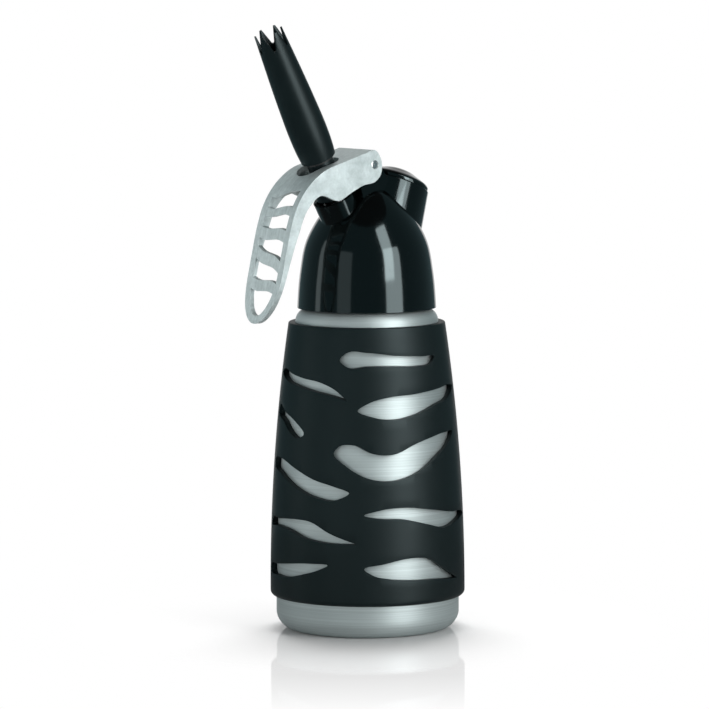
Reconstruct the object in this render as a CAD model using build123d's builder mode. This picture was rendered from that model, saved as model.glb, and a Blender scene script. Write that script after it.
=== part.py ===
from build123d import *
from math import asin, cos, degrees, radians, sin, sqrt
import os

# Whipped cream dispenser, half-litre class. Millimetres, +Z up, origin at the centre of the foot.
# The squeeze handle and the nozzle point to -X, the charger port leans to +X.

# ---- clearances ----
fit_gap = 0.05          # between pieces that are pressed or screwed together
running_gap = 0.05      # radial, shaft in bore
free_gap = 0.3          # between pieces that move past each other

# ---- bottle ----
bottle_radius = 42.0
bottle_wall = 1.0
foot_round = 8.5
taper_start_z = 19.0
shoulder_step = 6.2
shoulder_round = 6.0
neck_radius = 26.5
neck_wall = 1.6
neck_rise = 17.9        # from the start of the shoulder to the neck's rim

# ---- sleeve ----
sleeve_bottom_z = 15.5
sleeve_height = 126.0
sleeve_wall_low = 2.7
sleeve_wall_high = 3.0
sleeve_lip_round = 2.4
sleeve_top_gap = 1.1    # from the sleeve's top to the start of the shoulder

# ---- head ----
head_wall = 5.1
head_height = 57.0
head_blend = 1.5        # round in the corner between the dome and the cup
skirt_gap_z = 0.3
gasket_thickness = 1.6
gasket_width = 4.6
gasket_lip_width = 1.6
gasket_lip_depth = 3.0
pocket_top_radius = 16.0
pocket_depth = 14.0
tilt_centre_rise = 0.5  # the valve axis and the port axis cross the bottle's axis this far above the neck

# ---- valve, measured along its own tilted axis from the tilt centre ----
valve_tilt = 26.6
stem_radius = 3.0
stem_bore_radius = 1.7
stem_foot_radius = 4.8
stem_foot_length = 3.4
stem_foot_chamfer = 1.0
stem_port_radius = 1.0
stem_port_rise = 1.6    # of the side ports above the valve seat
guide_radius = 6.0
guide_seat_at = 22.0
guide_flange_radius = 7.6
guide_flange_thickness = 2.0
guide_seal_thickness = 1.0
valve_seal_thickness = 1.5
stem_seal_wire = 1.5
stem_seal_shares = (0.35, 0.75)  # where the two stem seals sit in the guide
cup_rim_at = 43.0
cup_depth = 8.0
cup_bore_radius = 8.3
cup_wall = 1.6
cup_root_at = 14.0
cup_taper = 0.9
spring_wire = 0.9
spring_radius = 5.4
spring_turns = 5.0
collar_radius = 9.9
collar_disc_thickness = 3.7
collar_skirt_wall = 1.0
collar_skirt_length = 6.5
collar_boss_radius = 6.2
collar_boss_length = 8.0
collar_top_at = 54.2
stem_thread_in_nozzle = 9.5

# ---- nozzle ----
nozzle_length = 65.0
nozzle_foot_radius = 8.1
nozzle_belly_radius = 8.9
nozzle_belly_rise = 15.0
nozzle_tip_radius = 6.6
nozzle_wall = 1.7
nozzle_tooth_root_wall = 1.3
nozzle_tip_wall = 0.85
nozzle_thread_run_out = 1.0
nozzle_teeth = 6
nozzle_tooth_length = 9.5
nozzle_tooth_turn = 22.0  # of the first tooth round the nozzle
nozzle_washer_thickness = 0.9
nozzle_washer_overhang = 0.6

# ---- charger port, measured along its own tilted axis from the tilt centre ----
port_tilt = 22.0
port_rim_at = 46.5
port_rim_radius = 15.4
port_root_at = 14.0
port_root_radius = 17.7
port_straight_length = 14.6
socket_radius = 12.5
socket_depth = 14.0
inlet_radius = 6.0
inlet_flange_radius = 8.6
inlet_flange_thickness = 2.4
inlet_bore_radius = 2.2
inlet_foot_at = 12.0
inlet_neck_radius = 3.6
nut_radius = 5.6
nut_thickness = 2.6
nut_margin = 1.2        # of the inlet's thread beyond each side of the nut
pin_radius = 1.2
pin_shank_length = 8.0
pin_point_length = 5.0
pin_cone_length = 2.0
charger_seal_radius = 5.4
charger_seal_wire = 1.6
cap_radius = 15.2
cap_height = 6.8
cap_wall = 1.8
cap_edge_height = 1.4
cap_edge_lean = 0.3
cap_crown = (0.58, 0.86)  # shares of the cap's radius and height that its dome passes through
cap_skirt_length = 8.0
cap_seal_share = 0.6    # how far down the skirt the cap's seal sits
cap_seal_wire = 1.2

# ---- lever ----
lever_width = 24.4
lever_web = 2.2
lever_flange = 1.9
lever_edge_round = 0.7
pivot_x = -5.0
pivot_rise = 53.0       # of the pivot above the tilt centre
pivot_pin_radius = 2.0
pivot_pin_chamfer = 0.3
pivot_boss_radius = 3.9
post_depth = 7.0        # of the post's foot below the cup's rim
post_lip = 2.5          # of the post's shoulder above the cup's rim
post_back_x = 5.0
lever_eye_radius = 7.8
slot_width = 13.6
slot_length = 20.9
slot_setback = 23.65    # of the slot's middle from the pivot
press_pad_radius = 2.5
tip_drop = 69.6         # of the handle's tip below the pivot
tip_round_length = 21.6
handle_rail = 3.5       # web left beside the handle's opening
window_top_drop = 12.0
window_top_lean = -0.12
bar_wave = 0.9
bar_wave_length = 16.0

# Bars across the handle's opening: depth of the middle below the pivot, height, and lean
# (rise for each millimetre towards +Y).
handle_bars = [
    (19.7, 3.7, 0.02),
    (29.7, 5.1, 0.15),
    (41.0, 5.3, 0.42),
    (52.7, 4.8, 0.20),
]

# ---- heights that follow from the bottle up ----
shoulder_z = sleeve_bottom_z + sleeve_height + sleeve_top_gap
neck_top_z = shoulder_z + neck_rise
tilt_centre_z = neck_top_z + tilt_centre_rise
pivot_z = tilt_centre_z + pivot_rise
tip_z = pivot_z - tip_drop


def tilted_section(tilt):
    """Plane of symmetry with x across and y along an axis that leans by tilt towards +X."""
    return Plane(
        origin=(0, 0, tilt_centre_z),
        x_dir=(cos(radians(tilt)), 0, -sin(radians(tilt))),
        z_dir=(0, -1, 0),
    )


def across(section, distance):
    """Plane square to a tilted axis, at a distance along it."""
    return Plane(
        origin=section.origin + section.y_dir * distance,
        x_dir=section.x_dir,
        z_dir=section.y_dir,
    )


valve_section = tilted_section(-valve_tilt)
valve_axis = Axis(valve_section.origin, valve_section.y_dir)
port_section = tilted_section(port_tilt)
port_axis = Axis(port_section.origin, port_section.y_dir)

# ---- sizes that follow from the driving ones ----
shoulder_radius = neck_radius + shoulder_step
taper_rise = shoulder_z - taper_start_z
taper_drop = bottle_radius - shoulder_radius
taper_curve = (taper_drop**2 + taper_rise**2) / (2 * taper_drop)
taper_angle = degrees(asin(taper_rise / taper_curve))
shoulder_top_z = shoulder_z + shoulder_round * (1 - sin(radians(taper_angle)))
skirt_z = shoulder_top_z + skirt_gap_z
head_bore_radius = neck_radius + free_gap
head_radius = head_bore_radius + head_wall
gasket_seat_z = neck_top_z + gasket_thickness
pocket_radius = neck_radius - gasket_width - fit_gap
cup_floor_at = cup_rim_at - cup_depth
cup_radius = cup_bore_radius + cup_wall
guide_bore_radius = stem_radius + running_gap
guide_top_at = cup_floor_at + guide_flange_thickness
spring_top_at = collar_top_at - collar_disc_thickness
collar_skirt_radius = cup_bore_radius - free_gap
stem_foot_at = guide_seat_at - valve_seal_thickness - stem_foot_length
nozzle_foot_at = collar_top_at + collar_boss_length + nozzle_washer_thickness
stem_top_at = nozzle_foot_at + stem_thread_in_nozzle
socket_floor_at = port_rim_at - socket_depth
inlet_top_at = socket_floor_at + inlet_flange_thickness
pin_radius_fit = pivot_pin_radius + running_gap
inner_width = lever_width - 2 * lever_flange
post_width = inner_width - 2 * free_gap

# ---- bottle ----


def bottle_outline(inset):
    """Half outline of the bottle's skin, moved inwards by inset, closed on the axis."""
    foot_radius = bottle_radius - foot_round
    corner = foot_round - inset
    foot = Line((0, inset), (foot_radius, inset))
    edge = JernArc(start=foot @ 1, tangent=(1, 0), radius=corner, arc_size=90)
    wall = Line(edge @ 1, (bottle_radius - inset, taper_start_z))
    side = JernArc(start=wall @ 1, tangent=(0, 1), radius=taper_curve - inset, arc_size=taper_angle)
    round_over = JernArc(
        start=side @ 1,
        tangent=side % 1,
        radius=shoulder_round - inset,
        arc_size=90 - taper_angle,
    )
    return round_over @ 1


with BuildPart() as bottle:
    with BuildSketch(Plane.XZ):
        with BuildLine():
            shoulder_end = bottle_outline(0)
            Polyline(
                shoulder_end,
                (neck_radius, shoulder_top_z),
                (neck_radius, neck_top_z),
                (0, neck_top_z),
                (0, 0),
            )
        make_face()
    revolve(axis=Axis.Z)
    with BuildSketch(Plane.XZ):
        with BuildLine():
            inner_end = bottle_outline(bottle_wall)
            Polyline(
                inner_end,
                (neck_radius - neck_wall, inner_end.Y),
                (neck_radius - neck_wall, neck_top_z),
                (0, neck_top_z),
                (0, bottle_wall),
            )
        make_face()
    revolve(axis=Axis.Z, mode=Mode.SUBTRACT)
bottle.part.label = "bottle"

# ---- sleeve: a rubber skin with smiling and leaning openings ----

sleeve_top_z = sleeve_bottom_z + sleeve_height
sleeve_radius = bottle_radius + sleeve_wall_low


def side_radius(z):
    """Outer radius of the bottle's tapered side at a height."""
    rise = max(z - taper_start_z, 0)
    return bottle_radius - taper_curve + sqrt(taper_curve**2 - rise**2)


sleeve_top_radius = side_radius(sleeve_top_z) + sleeve_wall_high
sleeve_rise = sleeve_top_z - taper_start_z
sleeve_drop = sleeve_radius - sleeve_top_radius
sleeve_curve = (sleeve_drop**2 + sleeve_rise**2) / (2 * sleeve_drop)


def sleeve_side_radius(z):
    """Outer radius of the sleeve at a height."""
    rise = max(z - taper_start_z, 0)
    return sleeve_radius - sleeve_curve + sqrt(sleeve_curve**2 - rise**2)


# Each opening runs from its right end along the upper edge, round its left end and back along
# the lower edge. A point is an angle round the bottle and a share of the sleeve's height.
# An opening marked True comes to a point at its right end, the others are round there.
sleeve_openings = [
    (False, [(284, 0.888), (272, 0.893), (250, 0.901), (230, 0.913), (217, 0.914), (211, 0.885),
             (218, 0.858), (230, 0.863), (249, 0.863), (268, 0.859), (280, 0.866)]),
    (True, [(217, 0.742), (208, 0.780), (197, 0.803), (184, 0.812), (169, 0.824), (156, 0.838),
            (150, 0.822), (160, 0.800), (178, 0.783), (190, 0.772), (203, 0.760)]),
    (False, [(309, 0.770), (302, 0.779), (285, 0.772), (262, 0.760), (243, 0.752), (232, 0.735),
             (224, 0.705), (234, 0.683), (248, 0.672), (262, 0.684), (281, 0.715), (300, 0.740)]),
    (False, [(186, 0.612), (177, 0.656), (165, 0.682), (152, 0.704), (150, 0.680), (163, 0.648),
             (172, 0.614), (181, 0.596)]),
    (False, [(299, 0.612), (290, 0.614), (275, 0.602), (262, 0.583), (246, 0.548), (234, 0.552),
             (222, 0.583), (213, 0.580), (209, 0.553), (217, 0.508), (230, 0.466), (246, 0.453),
             (262, 0.477), (278, 0.530), (293, 0.578)]),
    (False, [(219, 0.412), (210, 0.432), (196, 0.453), (180, 0.487), (162, 0.516), (152, 0.510),
             (151, 0.485), (163, 0.462), (181, 0.419), (197, 0.390), (210, 0.384)]),
    (False, [(312, 0.308), (304, 0.319), (292, 0.323), (272, 0.342), (250, 0.357), (238, 0.350),
             (228, 0.332), (238, 0.320), (252, 0.315), (268, 0.292), (283, 0.272), (296, 0.284)]),
    (True, [(224, 0.228), (207, 0.264), (194, 0.301), (182, 0.305), (166, 0.298), (152, 0.290),
            (150, 0.272), (163, 0.270), (176, 0.263), (190, 0.240), (205, 0.229)]),
    (False, [(206, 0.148), (193, 0.150), (180, 0.143), (163, 0.130), (150, 0.116), (150, 0.100),
             (162, 0.089), (176, 0.092), (188, 0.108), (200, 0.130)]),
    (True, [(296, 0.078), (280, 0.126), (268, 0.167), (256, 0.173), (240, 0.156), (228, 0.138),
            (234, 0.114), (244, 0.100), (257, 0.093), (276, 0.088)]),
]
sleeve_turns = (0, 180)  # the openings repeat on the far side


def sleeve_edge(points, middle, pointed):
    """Edge of an opening, seen square to the middle angle."""
    flat = []
    for angle, share in points:
        z = sleeve_bottom_z + share * sleeve_height
        flat.append((sleeve_side_radius(z) * sin(radians(angle - middle)), z))
    if pointed:
        Spline(*flat, flat[0])
    else:
        Spline(*flat, periodic=True)


with BuildPart() as sleeve:
    with BuildSketch(Plane.XZ):
        with BuildLine():
            sleeve_floor = Line((0, sleeve_bottom_z), (sleeve_radius - sleeve_lip_round, sleeve_bottom_z))
            sleeve_edge_round = JernArc(
                start=sleeve_floor @ 1, tangent=(1, 0), radius=sleeve_lip_round, arc_size=90
            )
            sleeve_wall = Line(sleeve_edge_round @ 1, (sleeve_radius, taper_start_z))
            sleeve_side = JernArc(
                start=sleeve_wall @ 1,
                tangent=(0, 1),
                radius=sleeve_curve,
                arc_size=degrees(asin(sleeve_rise / sleeve_curve)),
            )
            Polyline(sleeve_side @ 1, (0, sleeve_top_z), (0, sleeve_bottom_z))
        make_face()
    revolve(axis=Axis.Z)
    with BuildSketch(Plane.XZ):
        with BuildLine():
            skin_end = bottle_outline(-fit_gap)
            Polyline(skin_end, (0, shoulder_top_z + fit_gap), (0, -fit_gap))
        make_face()
    revolve(axis=Axis.Z, mode=Mode.SUBTRACT)
    for turn in sleeve_turns:
        for pointed, edge_points in sleeve_openings:
            angles = [angle for angle, share in edge_points]
            middle_angle = (min(angles) + max(angles)) / 2
            facing = radians(middle_angle + turn)
            cut_plane = Plane(
                origin=(0, 0, 0),
                x_dir=(-sin(facing), cos(facing), 0),
                z_dir=(cos(facing), sin(facing), 0),
            )
            with BuildSketch(cut_plane):
                with BuildLine():
                    sleeve_edge(edge_points, middle_angle, pointed)
                make_face()
            extrude(amount=2 * sleeve_radius, mode=Mode.SUBTRACT)
sleeve.part.label = "sleeve"

# ---- head gasket: flat ring on the neck's rim, with a lip inside the neck ----

gasket_outer = neck_radius
gasket_inner = neck_radius - gasket_width
with BuildPart() as head_gasket:
    with BuildSketch(Plane.XZ):
        with BuildLine():
            Polyline(
                (gasket_inner, neck_top_z - gasket_lip_depth),
                (gasket_inner + gasket_lip_width, neck_top_z - gasket_lip_depth),
                (gasket_inner + gasket_lip_width, neck_top_z),
                (gasket_outer, neck_top_z),
                (gasket_outer, gasket_seat_z),
                (gasket_inner, gasket_seat_z),
                close=True,
            )
        make_face()
    revolve(axis=Axis.Z)
head_gasket.part.label = "head_gasket"

# ---- head housing: dome, valve cup, charger port and the post that carries the lever ----

dome_shape = [
    (1.0, 0.0), (0.956, 0.292), (0.868, 0.535), (0.733, 0.686), (0.54, 0.832), (0.36, 0.932), (0.0, 1.0)
]
dome_points = [(head_radius * wide, skirt_z + head_height * high) for wide, high in dome_shape]
post_foot_across = collar_radius + 2 * free_gap
post_foot_along = cup_rim_at - post_depth
post_top_along = cup_rim_at + post_lip

with BuildPart() as head_housing:
    with BuildSketch(Plane.XZ):
        with BuildLine():
            Spline(*dome_points, tangents=((-0.05, 1), (-1, 0)))
            Polyline(dome_points[-1], (0, skirt_z), dome_points[0])
        make_face()
    revolve(axis=Axis.Z)
    with BuildSketch(port_section):
        with BuildLine():
            Polyline(
                (0, port_root_at),
                (port_root_radius, port_root_at),
                (port_root_radius, port_root_at + port_straight_length),
                (port_rim_radius, port_rim_at),
                (0, port_rim_at),
                close=True,
            )
        make_face()
    revolve(axis=port_axis)
    with BuildSketch(valve_section):
        with BuildLine():
            Polyline(
                (0, cup_root_at),
                (cup_radius - cup_taper, cup_root_at),
                (cup_radius, cup_rim_at),
                (0, cup_rim_at),
                close=True,
            )
        make_face()
    revolve(axis=valve_axis)
    fillet(head_housing.edges(Select.NEW).filter_by(GeomType.BSPLINE), radius=head_blend)
    with BuildSketch(Plane.XZ):
        with Locations((pivot_x, pivot_z)):
            Circle(pivot_boss_radius)
        post_foot = valve_section.from_local_coords((post_foot_across, post_foot_along, 0))
        post_shoulder = valve_section.from_local_coords((post_foot_across, post_top_along, 0))
        with BuildLine():
            Polyline(
                (post_foot.X, post_foot.Z),
                (post_shoulder.X, post_shoulder.Z),
                (post_back_x, post_shoulder.Z),
                (post_back_x, post_foot.Z),
                close=True,
            )
        make_face()
        make_hull()
    extrude(amount=post_width / 2, both=True)
    # thread bore, gasket seat and the pocket above it
    with BuildSketch(Plane.XZ):
        with BuildLine():
            Polyline(
                (0, skirt_z),
                (head_bore_radius, skirt_z),
                (head_bore_radius, gasket_seat_z),
                (pocket_radius, gasket_seat_z),
                (pocket_top_radius, gasket_seat_z + pocket_depth),
                (0, gasket_seat_z + pocket_depth),
                close=True,
            )
        make_face()
    revolve(axis=Axis.Z, mode=Mode.SUBTRACT)
    # valve bore, seal recess and cup
    with BuildSketch(valve_section):
        with BuildLine():
            Polyline(
                (0, cup_root_at),
                (guide_radius + fit_gap, cup_root_at),
                (guide_radius + fit_gap, cup_floor_at - guide_seal_thickness),
                (guide_flange_radius + fit_gap, cup_floor_at - guide_seal_thickness),
                (guide_flange_radius + fit_gap, cup_floor_at),
                (cup_bore_radius, cup_floor_at),
                (cup_bore_radius, cup_rim_at),
                (0, cup_rim_at),
                close=True,
            )
        make_face()
    revolve(axis=valve_axis, mode=Mode.SUBTRACT)
    # charger socket and inlet bore
    with BuildSketch(port_section):
        with BuildLine():
            Polyline(
                (0, port_root_at),
                (inlet_radius + fit_gap, port_root_at),
                (inlet_radius + fit_gap, socket_floor_at),
                (socket_radius, socket_floor_at),
                (socket_radius, port_rim_at),
                (0, port_rim_at),
                close=True,
            )
        make_face()
    revolve(axis=port_axis, mode=Mode.SUBTRACT)
    # room for the cap above the port's rim
    with BuildSketch(across(port_section, port_rim_at)):
        Circle(cap_radius + free_gap)
    extrude(amount=cap_height + free_gap, mode=Mode.SUBTRACT)
    with BuildSketch(Plane.XZ):
        with Locations((pivot_x, pivot_z)):
            Circle(pivot_pin_radius)
    extrude(amount=post_width, both=True, mode=Mode.SUBTRACT)
head_housing.part.label = "head_housing"

# ---- valve guide: a flanged bush with two seal grooves, its foot is the valve seat ----

seal_groove_depth = stem_seal_wire + running_gap
seal_places = [guide_seat_at + share * (cup_floor_at - guide_seat_at) for share in stem_seal_shares]
with BuildPart() as valve_guide:
    with BuildSketch(valve_section):
        with BuildLine():
            Polyline(
                (guide_bore_radius, guide_seat_at),
                (guide_radius, guide_seat_at),
                (guide_radius, cup_floor_at),
                (guide_flange_radius, cup_floor_at),
                (guide_flange_radius, guide_top_at),
                (guide_bore_radius, guide_top_at),
                close=True,
            )
        make_face()
        for seal_at in seal_places:
            with Locations((guide_bore_radius + seal_groove_depth / 2, seal_at)):
                Rectangle(seal_groove_depth, seal_groove_depth, mode=Mode.SUBTRACT)
    revolve(axis=valve_axis)
valve_guide.part.label = "valve_guide"

with BuildPart() as guide_seal:
    with BuildSketch(valve_section):
        guide_seal_middle = (guide_radius + guide_flange_radius) / 2
        with Locations((guide_seal_middle, cup_floor_at - guide_seal_thickness / 2)):
            Rectangle(guide_flange_radius - guide_radius - 2 * fit_gap, guide_seal_thickness)
    revolve(axis=valve_axis)
guide_seal.part.label = "guide_seal"

with BuildPart() as stem_seals:
    with BuildSketch(valve_section):
        for seal_at in seal_places:
            with Locations((guide_bore_radius + stem_seal_wire / 2, seal_at)):
                Circle(stem_seal_wire / 2)
    revolve(axis=valve_axis)
stem_seals.part.label = "stem_seals"

# ---- valve stem: a hollow rod with a foot that closes upwards, and two side ports ----

stem_port_at = guide_seat_at + stem_port_rise
with BuildPart() as valve_stem:
    with BuildSketch(valve_section):
        with BuildLine():
            Polyline(
                (0, stem_foot_at),
                (stem_foot_radius - stem_foot_chamfer, stem_foot_at),
                (stem_foot_radius, stem_foot_at + stem_foot_chamfer),
                (stem_foot_radius, stem_foot_at + stem_foot_length),
                (stem_radius, stem_foot_at + stem_foot_length),
                (stem_radius, stem_top_at),
                (stem_bore_radius, stem_top_at),
                (stem_bore_radius, guide_seat_at - stem_port_radius),
                (0, guide_seat_at - stem_port_radius),
                close=True,
            )
        make_face()
    revolve(axis=valve_axis)
    with BuildSketch(valve_section):
        with Locations((0, stem_port_at)):
            Circle(stem_port_radius)
    extrude(amount=2 * stem_radius, both=True, mode=Mode.SUBTRACT)
valve_stem.part.label = "valve_stem"

with BuildPart() as valve_seal:
    with BuildSketch(across(valve_section, guide_seat_at - valve_seal_thickness)):
        Circle(stem_foot_radius + fit_gap)
        Circle(stem_radius + fit_gap, mode=Mode.SUBTRACT)
    extrude(amount=valve_seal_thickness - fit_gap)
valve_seal.part.label = "valve_seal"

# ---- return spring, between the guide's flange and the collar ----

spring_length = spring_top_at - guide_top_at - spring_wire - 2 * fit_gap
spring_pitch = spring_length / spring_turns
spring_start = across(valve_section, guide_top_at + spring_wire / 2 + fit_gap)
with BuildPart() as valve_spring:
    with BuildLine():
        coil = Helix(
            pitch=spring_pitch,
            height=spring_length,
            radius=spring_radius,
            center=spring_start.origin,
            direction=valve_section.y_dir,
        )
    with BuildSketch(Plane(origin=coil @ 0, z_dir=coil % 0)):
        Circle(spring_wire / 2)
    sweep(path=coil, is_frenet=True)
valve_spring.part.label = "valve_spring"

# ---- stem collar: the lever presses its disc, its skirt runs in the cup ----

with BuildPart() as stem_collar:
    with BuildSketch(valve_section):
        with BuildLine():
            Polyline(
                (stem_radius + fit_gap, spring_top_at),
                (collar_skirt_radius - collar_skirt_wall, spring_top_at),
                (collar_skirt_radius - collar_skirt_wall, spring_top_at - collar_skirt_length),
                (collar_skirt_radius, spring_top_at - collar_skirt_length),
                (collar_skirt_radius, spring_top_at),
                (collar_radius, spring_top_at),
                (collar_radius, collar_top_at),
                (collar_boss_radius, collar_top_at),
                (collar_boss_radius, collar_top_at + collar_boss_length),
                (stem_radius + fit_gap, collar_top_at + collar_boss_length),
                close=True,
            )
        make_face()
    revolve(axis=valve_axis)
stem_collar.part.label = "stem_collar"

with BuildPart() as nozzle_washer:
    with BuildSketch(across(valve_section, collar_top_at + collar_boss_length)):
        Circle(collar_boss_radius + nozzle_washer_overhang)
        Circle(stem_radius + fit_gap, mode=Mode.SUBTRACT)
    extrude(amount=nozzle_washer_thickness)
nozzle_washer.part.label = "nozzle_washer"

# ---- nozzle: a tulip tip with pointed teeth, screwed on the stem ----

nozzle_tip_at = nozzle_foot_at + nozzle_length
nozzle_belly_at = nozzle_foot_at + nozzle_belly_rise
nozzle_socket_depth = stem_thread_in_nozzle + nozzle_thread_run_out
tooth_slope_at = nozzle_tip_at - nozzle_tooth_length
with BuildPart() as nozzle:
    with BuildSketch(valve_section):
        with BuildLine():
            nozzle_side = Spline(
                (nozzle_foot_radius, nozzle_foot_at),
                (nozzle_belly_radius, nozzle_belly_at),
                (nozzle_tip_radius, nozzle_tip_at),
                tangents=((0.1, 1), (-0.08, 1)),
            )
            Polyline(
                nozzle_side @ 1,
                (nozzle_tip_radius - nozzle_tip_wall, nozzle_tip_at),
                (nozzle_tip_radius - nozzle_tooth_root_wall, tooth_slope_at),
                (nozzle_belly_radius - nozzle_wall, nozzle_belly_at + nozzle_socket_depth),
                (stem_radius + nozzle_wall, nozzle_foot_at + nozzle_socket_depth),
                (stem_radius + fit_gap, nozzle_foot_at + nozzle_socket_depth),
                (stem_radius + fit_gap, nozzle_foot_at),
                (nozzle_foot_radius, nozzle_foot_at),
            )
        make_face()
    revolve(axis=valve_axis)
    tooth_gap = 2 * nozzle_tip_radius * sin(radians(180 / nozzle_teeth))
    for tooth in range(nozzle_teeth):
        turn = radians((tooth + 0.5) * 360 / nozzle_teeth + nozzle_tooth_turn)
        outward = valve_section.x_dir * cos(turn) + Vector(0, 1, 0) * sin(turn)
        notch_plane = Plane(
            origin=valve_section.origin,
            x_dir=valve_section.y_dir.cross(outward),
            z_dir=outward,
        )
        with BuildSketch(notch_plane):
            with BuildLine():
                Polyline(
                    (0, tooth_slope_at),
                    (tooth_gap / 2, nozzle_tip_at + fit_gap),
                    (-tooth_gap / 2, nozzle_tip_at + fit_gap),
                    close=True,
                )
            make_face()
        extrude(amount=nozzle_belly_radius, mode=Mode.SUBTRACT)
nozzle.part.label = "nozzle"

# ---- charger inlet: threaded body, nut, piercing pin and seals ----

with BuildPart() as inlet_body:
    with BuildSketch(port_section):
        with BuildLine():
            Polyline(
                (inlet_bore_radius, inlet_foot_at),
                (inlet_neck_radius, inlet_foot_at),
                (inlet_neck_radius, inlet_foot_at + nut_thickness + 2 * nut_margin),
                (inlet_radius, inlet_foot_at + nut_thickness + 2 * nut_margin),
                (inlet_radius, socket_floor_at),
                (inlet_flange_radius, socket_floor_at),
                (inlet_flange_radius, inlet_top_at),
                (inlet_bore_radius, inlet_top_at),
                close=True,
            )
        make_face()
    revolve(axis=port_axis)
inlet_body.part.label = "inlet_body"

with BuildPart() as inlet_nut:
    with BuildSketch(across(port_section, inlet_foot_at + nut_margin)):
        RegularPolygon(nut_radius, 6)
        Circle(inlet_neck_radius + fit_gap, mode=Mode.SUBTRACT)
    extrude(amount=nut_thickness)
inlet_nut.part.label = "inlet_nut"

with BuildPart() as piercing_pin:
    with BuildSketch(port_section):
        with BuildLine():
            Polyline(
                (0, inlet_top_at - pin_shank_length),
                (inlet_bore_radius - fit_gap, inlet_top_at - pin_shank_length),
                (inlet_bore_radius - fit_gap, inlet_top_at),
                (pin_radius, inlet_top_at),
                (pin_radius, inlet_top_at + pin_point_length - pin_cone_length),
                (0, inlet_top_at + pin_point_length),
                close=True,
            )
        make_face()
    revolve(axis=port_axis)
piercing_pin.part.label = "piercing_pin"

with BuildPart() as charger_seal:
    with BuildSketch(port_section):
        with Locations((charger_seal_radius, inlet_top_at + charger_seal_wire / 2)):
            Circle(charger_seal_wire / 2)
    revolve(axis=port_axis)
charger_seal.part.label = "charger_seal"

# ---- inlet cap: a shallow domed lid whose skirt fills the charger socket ----

cap_foot_at = port_rim_at + fit_gap
cap_skirt_radius = socket_radius - free_gap
cap_seal_middle = socket_radius - 2 * fit_gap - cap_seal_wire / 2
cap_groove_depth = cap_skirt_radius - (cap_seal_middle - cap_seal_wire / 2 - fit_gap)
with BuildPart() as inlet_cap:
    with BuildSketch(port_section):
        with BuildLine():
            cap_edge = Line(
                (cap_radius, cap_foot_at),
                (cap_radius - cap_edge_lean, cap_foot_at + cap_edge_height),
            )
            cap_top = Spline(
                cap_edge @ 1,
                (cap_crown[0] * cap_radius, cap_foot_at + cap_crown[1] * cap_height),
                (0, cap_foot_at + cap_height),
                tangents=((-0.7, 0.7), (-1, 0)),
            )
            Polyline(
                cap_top @ 1,
                (0, cap_foot_at + cap_height - cap_wall),
                (cap_skirt_radius - 2 * cap_wall, cap_foot_at + cap_height - 2 * cap_wall),
                (cap_skirt_radius - cap_wall, cap_foot_at),
                (cap_skirt_radius - cap_wall, cap_foot_at - cap_skirt_length),
                (cap_skirt_radius, cap_foot_at - cap_skirt_length),
                (cap_skirt_radius, cap_foot_at),
                (cap_radius, cap_foot_at),
            )
        make_face()
        seal_groove_at = cap_foot_at - cap_seal_share * cap_skirt_length
        with Locations((cap_skirt_radius, seal_groove_at)):
            Rectangle(2 * cap_groove_depth, cap_seal_wire + 2 * fit_gap, mode=Mode.SUBTRACT)
    revolve(axis=port_axis)
inlet_cap.part.label = "inlet_cap"

with BuildPart() as cap_seal:
    with BuildSketch(port_section):
        with Locations((cap_seal_middle, seal_groove_at)):
            Circle(cap_seal_wire / 2)
    revolve(axis=port_axis)
cap_seal.part.label = "cap_seal"

# ---- lever: a cast channel, its web faces up and out, its flanges straddle the post ----



def from_pivot(outline):
    """Places in the plane of symmetry, from distances out and up from the pivot."""
    return [(pivot_x + out, pivot_z + up) for out, up in outline]


web_points = from_pivot([
    (-26.0, -0.2),
    (-35.0, -4.9),
    (-41.5, -11.0),
    (-45.9, -17.7),
    (-49.1, -26.0),
    (-52.5, -39.0),
    (-55.4, -51.0),
    (-61.7, -tip_drop),
])
flange_points = from_pivot([
    (-4.7, -8.7),
    (-13.1, -11.7),
    (-21.0, -15.4),
    (-32.3, -12.8),
    (-38.9, -17.9),
    (-45.3, -30.7),
    (-51.1, -46.0),
    (-58.6, -tip_drop),
])
web_bend = web_points[0]
web_rear, eye_centre = from_pivot([(-1.0, 6.8), (-3.6, -1.0)])
web_slope = (web_bend[0] - web_rear[0], web_bend[1] - web_rear[1])
half_width = lever_width / 2


def tip_outline(inset):
    """Edges of the handle seen from -X: straight sides that close in an elliptic tip."""
    top_z = web_rear[1] + 2 * lever_web
    side = half_width - inset
    turn_z = tip_z + tip_round_length
    EllipticalCenterArc(
        (0, turn_z), side, tip_round_length - inset, start_angle=180, arc_size=180
    )
    Polyline((side, turn_z), (side, top_z), (-side, top_z), (-side, turn_z))


def looks_out(face):
    """True for the faces of the web that look up and away from the bottle."""
    return face.normal_at().X < -0.1


with BuildPart() as lever_blank:
    with BuildSketch(Plane.XZ.offset(-half_width)):
        with BuildLine():
            Line(web_rear, web_bend)
            Spline(*web_points, tangents=(web_slope, (-0.3, -1)))
            Line(web_points[-1], flange_points[-1])
            Spline(*reversed(flange_points), tangents=((0.38, 1), (1, 0.1)))
            ThreePointArc(flange_points[0], (eye_centre[0] + lever_eye_radius, eye_centre[1]), web_rear)
        make_face()
    extrude(amount=lever_width)
    with BuildSketch(Plane.YZ):
        with BuildLine():
            tip_outline(0)
        make_face()
    extrude(amount=-2 * abs(web_points[-1][0]), both=True, mode=Mode.INTERSECT)
    web_edges = lever_blank.faces().filter_by(looks_out).edges().filter_by(Axis.Y, reverse=True)
    fillet(web_edges, radius=lever_edge_round)

web_line = Spline(*web_points, tangents=(web_slope, (-0.3, -1)))


def under_web(share):
    """Point on the inner face of the web, at a share of its curve."""
    along = web_line % share
    return web_line @ share + Vector(-along.Y, along.X) * lever_web


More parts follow.
